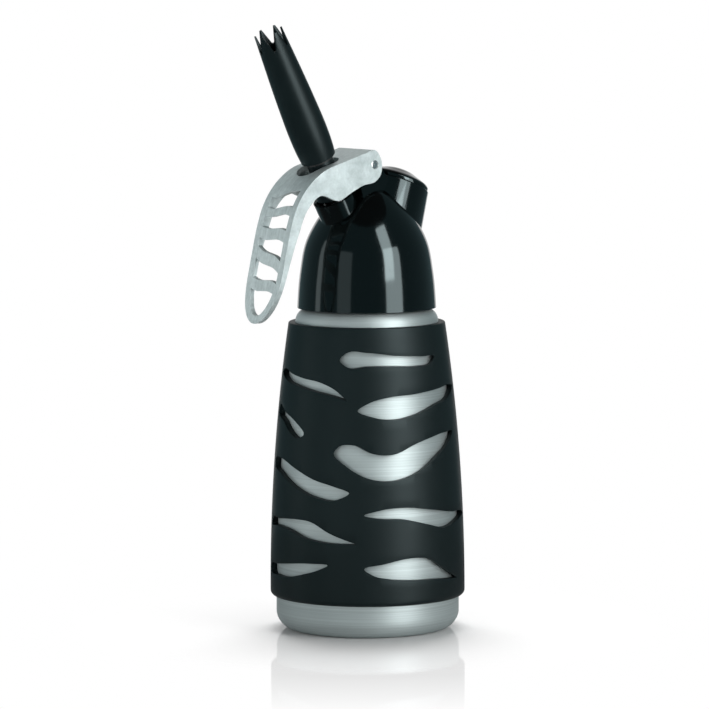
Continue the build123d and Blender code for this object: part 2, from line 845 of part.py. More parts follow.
rear_along = (Vector(*web_rear) - Vector(*web_bend)).normalized()
rear_inner = under_web(0) + rear_along * 2 * lever_width
with BuildPart() as lever_hollow:
    with BuildSketch(Plane.XZ):
        with BuildLine():
            Line(rear_inner, under_web(0))
            Spline(*[under_web(step / 8) for step in range(9)])
            Polyline(
                under_web(1),
                (under_web(1).X, tip_z - lever_width),
                (rear_inner.X, tip_z - lever_width),
                rear_inner,
            )
        make_face()
    extrude(amount=half_width, both=True)
    with BuildSketch(Plane.YZ):
        with BuildLine():
            tip_outline(lever_flange)
        make_face()
    extrude(amount=-2 * abs(web_points[-1][0]), both=True, mode=Mode.INTERSECT)


def wavy_end(side, drop, lean):
    """End of a wavy edge, past the rail on one side of the handle."""
    return (side * half_width, pivot_z - drop + side * half_width * lean)


def wavy_edge(drop, lean):
    """Edge across the handle, at a depth below the pivot, with one wave to each side."""
    crest = bar_wave_length / 4
    points = [wavy_end(-1, drop, lean)]
    for step in (-1, 0, 1):
        across_handle = step * crest
        points.append((across_handle, pivot_z - drop + across_handle * lean - step * bar_wave))
    points.append(wavy_end(1, drop, lean))
    Spline(*points)


pad_centre = valve_section.from_local_coords((0, collar_top_at + free_gap + press_pad_radius, 0))
with BuildPart() as lever:
    add(lever_blank.part)
    add(lever_hollow.part, mode=Mode.SUBTRACT)
    # two press pads in the corners under the web, one each side of the slot
    with BuildSketch(Plane.XZ):
        with Locations((pad_centre.X, pad_centre.Z)):
            Circle(press_pad_radius)
        with Locations((pad_centre.X, pad_centre.Z + press_pad_radius / 2)):
            Rectangle(2 * press_pad_radius, press_pad_radius)
    extrude(amount=half_width - lever_flange / 2, both=True)
    with BuildSketch(Plane.XY.offset(pad_centre.Z - 2 * press_pad_radius)):
        with Locations((pivot_x - slot_setback, 0)):
            SlotOverall(slot_length, slot_width)
    extrude(amount=12 * press_pad_radius, mode=Mode.SUBTRACT)
    # one opening down the handle that follows the tip, crossed by wavy bars
    with BuildSketch(Plane.YZ):
        with BuildLine():
            tip_outline(handle_rail)
        make_face()
        with BuildLine():
            wavy_edge(window_top_drop, window_top_lean)
            Polyline(
                wavy_end(1, window_top_drop, window_top_lean),
                (lever_width, pivot_z + lever_width),
                (-lever_width, pivot_z + lever_width),
                wavy_end(-1, window_top_drop, window_top_lean),
            )
        make_face(mode=Mode.SUBTRACT)
        for drop, height, lean in handle_bars:
            with BuildLine():
                wavy_edge(drop - height / 2, lean)
                wavy_edge(drop + height / 2, lean)
                for side in (-1, 1):
                    Line(wavy_end(side, drop - height / 2, lean), wavy_end(side, drop + height / 2, lean))
            make_face(mode=Mode.SUBTRACT)
    extrude(amount=2 * web_points[-1][0], mode=Mode.SUBTRACT)
    with BuildSketch(Plane.XZ):
        with Locations((pivot_x, pivot_z)):
            Circle(pin_radius_fit)
    extrude(amount=lever_width, both=True, mode=Mode.SUBTRACT)
lever.part.label = "lever"

with BuildPart() as pivot_pin:
    with BuildSketch(Plane.XZ):
        with Locations((pivot_x, pivot_z)):
            Circle(pivot_pin_radius)
    extrude(amount=half_width - free_gap, both=True)
    chamfer(pivot_pin.edges().filter_by(GeomType.CIRCLE), length=pivot_pin_chamfer)
pivot_pin.part.label = "pivot_pin"

os.makedirs("parts", exist_ok=True)
export_step(bottle.part, "parts/bottle.step")
export_step(sleeve.part, "parts/sleeve.step")
export_step(head_gasket.part, "parts/head_gasket.step")
export_step(head_housing.part, "parts/head_housing.step")
export_step(valve_guide.part, "parts/valve_guide.step")
export_step(guide_seal.part, "parts/guide_seal.step")
export_step(stem_seals.part, "parts/stem_seals.step")
export_step(valve_stem.part, "parts/valve_stem.step")
export_step(valve_seal.part, "parts/valve_seal.step")
export_step(valve_spring.part, "parts/valve_spring.step")
export_step(stem_collar.part, "parts/stem_collar.step")
export_step(nozzle_washer.part, "parts/nozzle_washer.step")
export_step(nozzle.part, "parts/nozzle.step")
export_step(inlet_body.part, "parts/inlet_body.step")
export_step(inlet_nut.part, "parts/inlet_nut.step")
export_step(piercing_pin.part, "parts/piercing_pin.step")
export_step(charger_seal.part, "parts/charger_seal.step")
export_step(inlet_cap.part, "parts/inlet_cap.step")
export_step(cap_seal.part, "parts/cap_seal.step")
export_step(lever.part, "parts/lever.step")
export_step(pivot_pin.part, "parts/pivot_pin.step")
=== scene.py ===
from contextlib import contextmanager
from math import acos, asin, cos, pi, radians, sin, sqrt, tan

import bpy
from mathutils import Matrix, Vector


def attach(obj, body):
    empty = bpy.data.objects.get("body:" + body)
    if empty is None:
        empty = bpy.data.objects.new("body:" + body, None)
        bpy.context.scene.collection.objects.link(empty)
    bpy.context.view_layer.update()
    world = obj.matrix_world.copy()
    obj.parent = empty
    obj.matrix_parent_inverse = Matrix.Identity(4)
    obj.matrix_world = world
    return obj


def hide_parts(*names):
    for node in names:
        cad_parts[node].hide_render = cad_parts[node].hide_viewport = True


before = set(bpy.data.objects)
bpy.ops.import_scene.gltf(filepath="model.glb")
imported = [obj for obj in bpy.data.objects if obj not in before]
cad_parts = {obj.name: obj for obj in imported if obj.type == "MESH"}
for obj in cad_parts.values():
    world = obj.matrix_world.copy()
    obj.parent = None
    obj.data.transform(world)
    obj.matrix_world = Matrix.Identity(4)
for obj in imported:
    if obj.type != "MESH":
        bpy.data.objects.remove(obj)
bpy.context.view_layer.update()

# Whipped cream dispenser. Drawing sizes are in millimetres, the scene is in metres.
MM = 0.001


def mm(x, y, z):
    return Vector((x, y, z)) * MM


# ---------------------------------------------------------------- drawing lines


def corners(points, steps=5):
    """Outline points, where a point with a third number is a corner rounded to that radius."""
    line = []
    for index, point in enumerate(points):
        here = Vector(point[:2])
        if len(point) == 2:
            line.append(here)
            continue
        back = (Vector(points[index - 1][:2]) - here).normalized()
        on = (Vector(points[(index + 1) % len(points)][:2]) - here).normalized()
        half = acos(max(-1, min(1, back.dot(on)))) / 2
        middle = here + (back + on).normalized() * (point[2] / sin(half))
        start = here + back * (point[2] / tan(half)) - middle
        end = here + on * (point[2] / tan(half)) - middle
        turn = pi - 2 * half
        for step in range(steps + 1):
            share = step / steps
            spoke = start * (sin((1 - share) * turn) / sin(turn)) + end * (sin(share * turn) / sin(turn))
            line.append(middle + spoke)
    return line


def slope_at(before, here, after):
    """Direction of a smooth line at a point between two others."""
    short, long = (here - before).length, (after - here).length
    return ((here - before) * (long / short) + (after - here) * (short / long)) / (short + long)


def eased_line(knots, slopes, steps):
    """Points along the curves that join knots at the slopes given there."""
    line = []
    for a, b, leave, arrive in zip(knots, knots[1:], slopes, slopes[1:]):
        span = (b - a).length
        for step in range(steps):
            t = step / steps
            line.append(
                a * (2 * t**3 - 3 * t**2 + 1)
                + leave * span * (t**3 - 2 * t**2 + t)
                + b * (3 * t**2 - 2 * t**3)
                + arrive * span * (t**3 - t**2)
            )
    return line


def flowing(points, steps=8, first=None, last=None):
    """A smooth line through points; first and last are the directions at its ends."""
    knots = [Vector(point) for point in points]
    slopes = [slope_at(*three) for three in zip(knots, knots[1:], knots[2:])]
    slopes.insert(0, Vector(first).normalized() if first else (knots[1] - knots[0]).normalized())
    slopes.append(Vector(last).normalized() if last else (knots[-1] - knots[-2]).normalized())
    return eased_line(knots, slopes, steps) + [knots[-1]]


def flowing_ring(points, steps=8):
    """A smooth closed line through points."""
    knots = [Vector(point) for point in points]
    around = knots[-1:] + knots + knots[:2]
    slopes = [slope_at(*three) for three in zip(around, around[1:], around[2:])]
    return eased_line(knots + knots[:1], slopes, steps)


class Section:
    """A half section: out is square to a leaning axis, up runs along it."""

    def __init__(self, lean, centre_z):
        self.origin = mm(0, 0, centre_z)
        self.out = Vector((cos(radians(lean)), 0, -sin(radians(lean))))
        self.up = Vector((sin(radians(lean)), 0, cos(radians(lean))))

    def at(self, out, up):
        return self.origin + (self.out * out + self.up * up) * MM


upright = Section(0, 0)
valve = Section(-26.6, 161)
port = Section(22, 161)
ACROSS = Vector((0, 1, 0))


# ---------------------------------------------------------------- handling pieces

SMOOTH_BELOW = 35


def take(item):
    """Select one object alone and make it active."""
    bpy.ops.object.select_all(action="DESELECT")
    item.select_set(True)
    bpy.context.view_layer.objects.active = item


@contextmanager
def editing(item):
    take(item)
    bpy.ops.object.mode_set(mode="EDIT")
    bpy.ops.mesh.select_all(action="SELECT")
    yield
    bpy.ops.object.mode_set(mode="OBJECT")


def drawn(name, line, closed=False):
    """A line drawn from place to place by extruding one vertex."""
    bpy.ops.object.select_all(action="DESELECT")
    bpy.ops.mesh.primitive_plane_add(size=MM, location=line[0])
    item = bpy.context.object
    item.name = name
    item.data.name = name
    with editing(item):
        bpy.ops.mesh.merge(type="CENTER")
        for start, end in zip(line, line[1:]):
            bpy.ops.mesh.extrude_region_move(TRANSFORM_OT_translate={"value": end - start})
        if closed:
            bpy.ops.mesh.select_all(action="SELECT")
            bpy.ops.mesh.edge_face_add()
    bpy.ops.object.transform_apply(location=True, rotation=True, scale=True)
    return item


def turned(name, section, points, steps=96, ring=True):
    """A piece turned on a section's axis. A ring's outline closes on itself, any other ends on the axis."""
    line = [section.at(*point) for point in points]
    if ring:
        line.append(line[0].copy())
    item = drawn(name, line)
    with editing(item):
        bpy.ops.mesh.spin(steps=steps, angle=2 * pi, center=section.origin, axis=section.up)
        bpy.ops.mesh.select_all(action="SELECT")
        bpy.ops.mesh.remove_doubles(threshold=1e-6)
        bpy.ops.mesh.normals_make_consistent(inside=False)
    return item


def plate(name, line, depth):
    """A closed outline pushed out to a solid by a vector."""
    item = drawn(name, line, closed=True)
    with editing(item):
        bpy.ops.mesh.extrude_region_move(TRANSFORM_OT_translate={"value": depth})
        bpy.ops.mesh.select_all(action="SELECT")
        bpy.ops.mesh.normals_make_consistent(inside=False)
    return item


def side_plate(name, points, half):
    """An outline seen from the side, pushed out to half its width on each side."""
    return plate(name, [mm(p[0], -half, p[1]) for p in points], mm(0, 2 * half, 0))


def front_plate(name, points):
    """An outline seen from the front, pushed through the handle from -80 to 10."""
    return plate(name, [mm(-80, p[0], p[1]) for p in points], mm(90, 0, 0))


def rod(name, centre, axis, radius, length):
    """A round rod about a centre, along an axis."""
    bpy.ops.object.select_all(action="DESELECT")
    bpy.ops.mesh.primitive_cylinder_add(
        vertices=64,
        radius=radius * MM,
        depth=length * MM,
        location=centre,
        rotation=axis.to_track_quat("Z", "Y").to_euler(),
    )
    item = bpy.context.object
    item.name = name
    bpy.ops.object.transform_apply(location=True, rotation=True, scale=True)
    return item


def modified(item, kind, **settings):
    take(item)
    bpy.ops.object.modifier_add(type=kind)
    modifier = item.modifiers[-1]
    for key, value in settings.items():
        setattr(modifier, key, value)
    bpy.ops.object.modifier_apply(modifier=modifier.name)
    return item


def worked(item, tool, operation):
    """Join a tool piece to an item, cut it away or keep what they share, and throw the tool away."""
    modified(item, "BOOLEAN", operation=operation, solver="EXACT", object=tool)
    bpy.data.objects.remove(tool)
    return item


def eased(item, width, segments=3, sharper_than=35):
    """Ease the sharp edges of a piece."""
    return modified(
        item,
        "BEVEL",
        width=width * MM,
        segments=segments,
        limit_method="ANGLE",
        angle_limit=radians(sharper_than),
        use_clamp_overlap=True,
    )


def levelled(item):
    """Keep the broad faces of a piece flat where its eased edges meet them."""
    take(item)
    bpy.ops.object.shade_smooth_by_angle(angle=radians(SMOOTH_BELOW))
    return modified(item, "WEIGHTED_NORMAL", weight=60, keep_sharp=True)


def thread(name, section, radius, crest, width, start, pitch, turns):
    """A screw ridge round a section's axis, from radius out or in to crest."""
    lean = 0.35 * width
    points = [
        (radius, start - width / 2),
        (crest, start - width / 2 + lean),
        (crest, start + width / 2 - lean),
        (radius, start + width / 2),
    ]
    item = drawn(name, [section.at(*point) for point in points], closed=True)
    with editing(item):
        bpy.ops.mesh.delete(type="ONLY_FACE")
    guide = bpy.data.objects.new("thread_axis", None)
    bpy.context.scene.collection.objects.link(guide)
    guide.location = section.origin
    guide.rotation_euler = section.up.to_track_quat("Z", "Y").to_euler()
    bpy.context.view_layer.update()
    modified(
        item,
        "SCREW",
        object=guide,
        axis="Z",
        steps=48,
        render_steps=48,
        iterations=turns,
        screw_offset=pitch * MM,
        use_object_screw_offset=False,
    )
    bpy.data.objects.remove(guide)
    with editing(item):
        bpy.ops.mesh.remove_doubles(threshold=1e-7)
        bpy.ops.mesh.fill_holes(sides=0)
        bpy.ops.mesh.normals_make_consistent(inside=False)
    return item


def finished(item, body, finish, stands_for=(), smooth=SMOOTH_BELOW):
    """Shade a piece unless smooth is 0, give it its finish and hang it on its body."""
    take(item)
    if smooth:
        bpy.ops.object.shade_smooth_by_angle(angle=radians(smooth))
    item.data.materials.clear()
    item.data.materials.append(finish)
    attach(item, body)
    if stands_for:
        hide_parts(*stands_for)
    return item


# ---------------------------------------------------------------- finishes

SEA_TINT = (0.80, 0.98, 1.0, 1.0)


class Value:
    """A number socket that can be reckoned with like a number."""

    def __init__(self, pen, socket):
        self.pen = pen
        self.socket = socket

    def sum(self, operation, *terms):
        node = self.pen.node("ShaderNodeMath", {"operation": operation}, dict(enumerate(terms)))
        return Value(self.pen, node.outputs[0])

    def __add__(self, other):
        return self.sum("ADD", self, other)

    __radd__ = __add__

    def __sub__(self, other):
        return self.sum("SUBTRACT", self, other)

    def __rsub__(self, other):
        return self.sum("SUBTRACT", other, self)

    def __mul__(self, other):
        return self.sum("MULTIPLY", self, other)

    __rmul__ = __mul__

    def above(self, level, softness):
        """0 below a level and 1 above it, over a soft step."""
        ramped = (self - (level - softness / 2)) * (1 / softness)
        return self.sum("MINIMUM", self.sum("MAXIMUM", ramped, 0.0), 1.0)


class Pen:
    """Draws nodes in one node tree."""

    def __init__(self, tree):
        self.tree = tree

    def node(self, kind, settings=None, sockets=None):
        node = self.tree.nodes.new(kind)
        for key, value in (settings or {}).items():
            setattr(node, key, value)
        for key, value in (sockets or {}).items():
            self.feed(node.inputs[key], value)
        return node

    def feed(self, socket, value):
        if isinstance(value, Value):
            value = value.socket
        if isinstance(value, bpy.types.NodeSocket):
            self.tree.links.new(value, socket)
        else:
            socket.default_value = value


class Finish(Pen):
    """A material on a piece's own place, with constants set on the shader's sockets."""

    def __init__(self, name, constants):
        self.material = bpy.data.materials.new(name)
        self.material.use_nodes = True
        super().__init__(self.material.node_tree)
        self.shader = self.tree.nodes["Principled BSDF"]
        for socket, value in constants.items():
            self.shader.inputs[socket].default_value = value
        self.place = self.node("ShaderNodeTexCoord").outputs["Object"]

    def noise(self, scale, detail=4.0, stretch=(1, 1, 1), roughness=0.55):
        laid = self.node("ShaderNodeMapping", None, {"Vector": self.place, "Scale": stretch})
        noise = self.node(
            "ShaderNodeTexNoise",
            None,
            {"Vector": laid.outputs[0], "Scale": scale, "Detail": detail, "Roughness": roughness},
        )
        return Value(self, noise.outputs[0])

    def blend(self, share, first, second):
        mix = self.node("ShaderNodeMix", {"data_type": "RGBA"}, {0: share, 6: first, 7: second})
        return mix.outputs[2]

    def give(self, channels):
        for socket, value in channels.items():
            self.feed(self.shader.inputs[socket], value)

    def relief(self, height, depth, strength):
        bump = self.node("ShaderNodeBump", None, {"Height": height, "Distance": depth, "Strength": strength})
        self.feed(self.shader.inputs["Normal"], bump.outputs[0])


def cool(level, tint=0.0):
    """A grey with a little less red in it."""
    return (level * (1 - tint), level, level, 1.0)


def teal(level):
    """A black with a little sea green in it."""
    return (level * 0.45, level * 0.92, level, 1.0)


def brushed_steel():
    finish = Finish(
        "brushed_steel", {"Metallic": 0.66, "Anisotropic": 0.45, "Anisotropic Rotation": 0.25, "IOR": 1.4}
    )
    streaks = finish.noise(1.0, detail=5.0, stretch=(9, 9, 2600), roughness=0.62)
    bands = finish.noise(1.0, detail=2.0, stretch=(4, 4, 260))
    smudges = finish.noise(34.0, detail=3.0)
    lines = (streaks * 0.75 + bands * 0.25).above(0.5, 0.5)
    steel = finish.blend(lines, cool(0.34, 0.13), cool(0.56, 0.11))
    finish.give({"Base Color": steel, "Roughness": 0.46 + 0.12 * streaks + 0.08 * smudges})
    finish.relief(streaks, 0.00003, 0.6)
    return finish.material


def grip_rubber():
    finish = Finish("grip_rubber", {"IOR": 1.45, "Specular IOR Level": 0.3, "Specular Tint": SEA_TINT})
    grain = finish.noise(2600.0, detail=2.0)
    cloud = finish.noise(46.0)
    dust = finish.noise(900.0, detail=6.0, roughness=0.7).above(0.66, 0.12)
    rubber = finish.blend(cloud * 0.5 + dust * 0.5, teal(0.0045), teal(0.0090))
    finish.give({"Base Color": rubber, "Roughness": 0.40 + 0.08 * cloud + 0.05 * grain})
    finish.relief(grain, 0.00004, 0.5)
    return finish.material


def gloss_plastic():
    finish = Finish("gloss_plastic", {"IOR": 1.47, "Specular Tint": SEA_TINT})
    ripple = finish.noise(160.0, detail=1.0)
    haze = finish.noise(60.0, detail=5.0)
    lint = finish.noise(1500.0, detail=3.0, stretch=(1, 1, 0.25)).above(0.70, 0.05)
    plastic = finish.blend(lint * 0.4, teal(0.0008), teal(0.0050))
    finish.give({"Base Color": plastic, "Roughness": 0.07 + 0.06 * haze + 0.12 * lint})
    finish.relief(ripple, 0.00001, 0.5)
    return finish.material


def satin_plastic():
    finish = Finish("satin_plastic", {"IOR": 1.47, "Specular IOR Level": 0.33, "Specular Tint": SEA_TINT})
    grain = finish.noise(3200.0, detail=2.0)
    cloud = finish.noise(80.0)
    plastic = finish.blend(cloud, teal(0.0028), teal(0.0055))
    finish.give({"Base Color": plastic, "Roughness": 0.32 + 0.10 * cloud + 0.05 * grain})
    finish.relief(grain, 0.00002, 0.4)
    return finish.material


def lever_alloy():
    finish = Finish("lever_alloy", {"Metallic": 0.62, "Anisotropic": 0.3, "IOR": 1.4})
    grain = finish.noise(1400.0)
    mottle = finish.noise(420.0, detail=6.0, roughness=0.7)
    cloud = finish.noise(55.0)
    rubbed = finish.noise(1.0, detail=5.0, stretch=(160, 1500, 160))
    wear = (cloud * 0.2 + mottle * 0.4 + rubbed * 0.4).above(0.5, 0.4)
    alloy = finish.blend(wear, cool(0.37, 0.14), cool(0.71, 0.10))
    finish.give({"Base Color": alloy, "Roughness": 0.34 + 0.12 * mottle + 0.12 * rubbed})
    finish.relief(grain * 0.4 + mottle * 0.6, 0.00004, 0.7)
    return finish.material


def soft_seal():
    finish = Finish("soft_seal", {"IOR": 1.42})
    cloud = finish.noise(180.0)
    finish.give({"Base Color": finish.blend(cloud, cool(0.010), cool(0.022)), "Roughness": 0.5 + 0.2 * cloud})
    finish.relief(finish.noise(2500.0, detail=2.0), 0.00003, 0.4)
    return finish.material


def turned_brass():
    finish = Finish("turned_brass", {"Metallic": 1.0})
    cloud = finish.noise(220.0)
    cuts = finish.noise(1.0, detail=3.0, stretch=(400, 400, 6000))
    brass = finish.blend(cloud, (0.62, 0.42, 0.15, 1.0), (0.74, 0.54, 0.22, 1.0))
    finish.give({"Base Color": brass, "Roughness": 0.24 + 0.14 * cuts})
    finish.relief(cuts, 0.00001, 0.4)
    return finish.material


def bright_steel():
    finish = Finish("bright_steel", {"Metallic": 1.0})
    cloud = finish.noise(260.0)
    finish.give({"Base Color": finish.blend(cloud, cool(0.55), cool(0.70)), "Roughness": 0.16 + 0.12 * cloud})
    finish.relief(finish.noise(3000.0, detail=2.0), 0.00001, 0.3)
    return finish.material


steel_skin = brushed_steel()
rubber_skin = grip_rubber()
head_gloss = gloss_plastic()
nozzle_satin = satin_plastic()
lever_metal = lever_alloy()
seal_skin = soft_seal()
brass_skin = turned_brass()
bright_skin = bright_steel()

# ---------------------------------------------------------------- bottle

BOTTLE_R, FOOT_ROUND, TAPER_Z = 42.0, 8.5, 19.0
SHOULDER_Z, SHOULDER_R, SHOULDER_ROUND = 142.6, 32.7, 6.0
NECK_TOP, NECK_R, NECK_LIP, NECK_BORE, WALL = 160.5, 25.8, 26.4, 24.9, 1.0
taper_drop = BOTTLE_R - SHOULDER_R
taper_rise = SHOULDER_Z - TAPER_Z
taper_curve = (taper_drop**2 + taper_rise**2) / (2 * taper_drop)


def side_radius(z):
    rise = max(z - TAPER_Z, 0)
    return BOTTLE_R - taper_curve + sqrt(taper_curve**2 - rise**2)


def bottle_side(inset):
    """The bottle's outline from the middle of the foot to the top of the shoulder, moved in by inset."""
    radius = BOTTLE_R - inset
    line = corners([(0, inset), (radius, inset, FOOT_ROUND - inset), (radius, TAPER_Z)], 12)
    for step in range(1, 25):
        z = TAPER_Z + taper_rise * step / 24
        lean = asin((z - TAPER_Z) / taper_curve)
        line.append(Vector((side_radius(z) - inset * cos(lean), z - inset * sin(lean))))
    # The shoulder's round starts at the lean the taper ends with.
    centre = Vector((SHOULDER_R, SHOULDER_Z)) - Vector((cos(lean), sin(lean))) * SHOULDER_ROUND
    for step in range(1, 11):
        turn = lean + (pi / 2 - lean) * step / 10
        line.append(centre + Vector((cos(turn), sin(turn))) * (SHOULDER_ROUND - inset))
    return line


outside = bottle_side(0)
inside = bottle_side(WALL)
shoulder_top = outside[-1].y
neck = corners(
    [
        outside[-1],
        (NECK_R, shoulder_top, 0.7),
        (NECK_R, 158.3),
        (NECK_LIP, 158.9),
        (NECK_LIP, NECK_TOP, 0.5),
        (NECK_BORE, NECK_TOP, 0.5),
        (NECK_BORE, inside[-1].y),
    ]
)
bottle_shell = turned("bottle_shell", upright, outside + neck[1:] + inside[::-1], steps=160, ring=False)
finished(bottle_shell, "bottle_body", steel_skin, ["bottle"], smooth=40)

neck_thread = thread("neck_thread", upright, 25.6, 26.4, 1.5, 150.2, 3.0, 2)
finished(neck_thread, "bottle_body", steel_skin)

# ---------------------------------------------------------------- sleeve

SLEEVE_LOW, SLEEVE_HIGH = 15.5, 141.5
SLEEVE_R, SLEEVE_TOP_WALL = 44.7, 3.0
sleeve_rise = SLEEVE_HIGH - TAPER_Z
sleeve_drop = SLEEVE_R - side_radius(SLEEVE_HIGH) - SLEEVE_TOP_WALL
sleeve_curve = (sleeve_drop**2 + sleeve_rise**2) / (2 * sleeve_drop)


def sleeve_radius(z):
    rise = max(z - TAPER_Z, 0)
    return SLEEVE_R - sleeve_curve + sqrt(sleeve_curve**2 - rise**2)


sleeve_levels = [TAPER_Z + sleeve_rise * step / 24 for step in range(25)]
sleeve_line = [(side_radius(z) + 0.05, z) for z in sleeve_levels]
sleeve_line += corners(
    [
        sleeve_line[-1],
        (sleeve_radius(SLEEVE_HIGH), SLEEVE_HIGH, 0.7),
        (sleeve_radius(SLEEVE_HIGH - 4), SLEEVE_HIGH - 4),
    ]
)[1:-1]
sleeve_line += [(sleeve_radius(z), z) for z in reversed(sleeve_levels[:-1])]
sleeve_line += corners(
    [(SLEEVE_R, TAPER_Z), (SLEEVE_R, SLEEVE_LOW, 2.3), (42.05, SLEEVE_LOW, 0.35), (42.05, TAPER_Z)], 8
)[1:-1]
sleeve_skin = turned("sleeve_skin", upright, sleeve_line, steps=160)

# An opening runs from its right end along the upper edge, round its left end and back below.
# A point is an angle round the bottle and a share of the sleeve's height.
# True marks an opening that comes to a point at its right end.
sleeve_openings = [
    (False, [(284, 0.888), (272, 0.893), (250, 0.901), (230, 0.913), (217, 0.914), (211, 0.885),
             (218, 0.858), (230, 0.863), (249, 0.863), (268, 0.859), (280, 0.866)]),
    (True, [(217, 0.742), (208, 0.780), (197, 0.803), (184, 0.812), (169, 0.824), (156, 0.838),
            (150, 0.822), (160, 0.800), (178, 0.783), (190, 0.772), (203, 0.760)]),
    (False, [(309, 0.770), (302, 0.779), (285, 0.772), (262, 0.760), (243, 0.752), (232, 0.735),
             (224, 0.705), (234, 0.683), (248, 0.672), (262, 0.684), (281, 0.715), (300, 0.740)]),
    (False, [(186, 0.612), (177, 0.656), (165, 0.682), (152, 0.704), (150, 0.680), (163, 0.648),
             (172, 0.614), (181, 0.596)]),
    (False, [(299, 0.612), (290, 0.614), (275, 0.602), (262, 0.583), (246, 0.548), (234, 0.552),
             (222, 0.583), (213, 0.580), (209, 0.553), (217, 0.508), (230, 0.466), (246, 0.453),
             (262, 0.477), (278, 0.530), (293, 0.578)]),
    (False, [(219, 0.412), (210, 0.432), (196, 0.453), (180, 0.487), (162, 0.516), (152, 0.510),
             (151, 0.485), (163, 0.462), (181, 0.419), (197, 0.390), (210, 0.384)]),
    (False, [(312, 0.308), (304, 0.319), (292, 0.323), (272, 0.342), (250, 0.357), (238, 0.350),
             (228, 0.332), (238, 0.320), (252, 0.315), (268, 0.292), (283, 0.272), (296, 0.284)]),
    (True, [(224, 0.228), (207, 0.264), (194, 0.301), (182, 0.305), (166, 0.298), (152, 0.290),
            (150, 0.272), (163, 0.270), (176, 0.263), (190, 0.240), (205, 0.229)]),
    (False, [(206, 0.148), (193, 0.150), (180, 0.143), (163, 0.130), (150, 0.116), (150, 0.100),
             (162, 0.089), (176, 0.092), (188, 0.108), (200, 0.130)]),
    (True, [(296, 0.078), (280, 0.126), (268, 0.167), (256, 0.173), (240, 0.156), (228, 0.138),
            (234, 0.114), (244, 0.100), (257, 0.093), (276, 0.088)]),
]


def opening_tool(pointed, edge, turn):
    """A cutter for one opening, turned round the bottle and pushed out square to its middle angle."""
    angles = [angle for angle, share in edge]
    middle = (min(angles) + max(angles)) / 2
    facing = Vector((cos(radians(middle + turn)), sin(radians(middle + turn)), 0))
    across = Vector((-facing.y, facing.x, 0))
    flat = []
    for angle, share in edge:
        z = SLEEVE_LOW + share * (SLEEVE_HIGH - SLEEVE_LOW)
        flat.append((sleeve_radius(z) * sin(radians(angle - middle)), z))
    rim = flowing(flat + flat[:1], 5)[:-1] if pointed else flowing_ring(flat, 5)
    line = [facing * (24 * MM) + across * (p.x * MM) + Vector((0, 0, p.y * MM)) for p in rim]
    return plate("opening_tool", line, facing * (30 * MM))


# The same openings show in front and half a turn on.
for turn in (0, 180):
    for pointed, edge in sleeve_openings:
        worked(sleeve_skin, opening_tool(pointed, edge, turn), "DIFFERENCE")
eased(sleeve_skin, 0.5, segments=2)
finished(sleeve_skin, "bottle_body", rubber_skin, ["sleeve"])

# ---------------------------------------------------------------- head gasket

gasket_ring = turned(
    "gasket_ring",
    upright,
    corners(
        [
            (21.9, 157.5, 0.5),
            (23.5, 157.5, 0.5),
            (23.5, 160.5),
            (26.5, 160.5, 0.2),
            (26.5, 162.1, 0.4),
            (21.9, 162.1, 0.4),
        ]
    ),
)
finished(gasket_ring, "gasket_body", seal_skin, ["head_gasket"])

# ---------------------------------------------------------------- head housing

HEAD_R, SKIRT_Z, HEAD_HEIGHT = 31.9, 148.0, 57.0
PIVOT, PIN_R, POST_HALF = (-5.0, 214.0), 2.0, 10
PIN_PLACE = mm(PIVOT[0], 0, PIVOT[1])
dome_shape = [(1, 0), (0.956, 0.292), (0.868, 0.535), (0.733, 0.686), (0.54, 0.832), (0.36, 0.932), (0, 1)]
dome_line = flowing(
    [(HEAD_R * wide, SKIRT_Z + HEAD_HEIGHT * high) for wide, high in dome_shape],
    steps=10,
    first=(-0.05, 1),
    last=(-1, 0),
)
head_shell = turned("head_shell", upright, [(0, SKIRT_Z)] + dome_line, steps=160, ring=False)
port_body = turned(
    "port_body",
    port,
    corners([(0, 14), (17.8, 14), (17.8, 28.6, 14), (15.8, 46.5, 0.4), (0, 46.5)], 8),
    ring=False,
)
worked(head_shell, port_body, "UNION")
cup_body = turned("cup_body", valve, [(0, 14), (9.0, 14), (9.9, 43), (0, 43)], ring=False)
worked(head_shell, cup_body, "UNION")
post_line = corners(
    [
        (-9.5, 197.0),
        (-12.0, 205.2),
        (-8.6, 213.2),
        (-7.2, 217.1, 3.5),
        (-2.8, 217.3, 3.5),
        (5.0, 206.4),
        (5.0, 197.9),
    ],
    8,
)
worked(head_shell, side_plate("post_body", post_line, POST_HALF), "UNION")
worked(
    head_shell,
    turned(
        "bore_tool",
        upright,
        [(0, 140), (26.8, 140), (26.8, 162.1), (21.85, 162.1), (16, 176.1), (0, 176.1)],
        ring=False,
    ),
    "DIFFERENCE",
)
worked(
    head_shell,
    turned(
        "cup_tool",
        valve,
        [(0, 10), (6.05, 10), (6.05, 34), (7.65, 34), (7.65, 35), (8.3, 35), (8.3, 50), (0, 50)],
        ring=False,
    ),
    "DIFFERENCE",
)
worked(
    head_shell,
    turned(
        "socket_tool",
        port,
        [(0, 8), (6.05, 8), (6.05, 32.5), (12.5, 32.5), (12.5, 60), (0, 60)],
        ring=False,
    ),
    "DIFFERENCE",
)
worked(head_shell, rod("pin_tool", PIN_PLACE, ACROSS, PIN_R, 30), "DIFFERENCE")
finished(head_shell, "head_body", head_gloss, ["head_housing"])

head_thread = thread("head_thread", upright, 26.9, 26.45, 1.2, 151.6, 3.0, 2)
finished(head_thread, "head_body", head_gloss)
socket_thread = thread("socket_thread", port, 12.6, 12.28, 0.9, 36.0, 2.0, 4)
finished(socket_thread, "head_body", head_gloss)

# ---------------------------------------------------------------- collar and nozzle

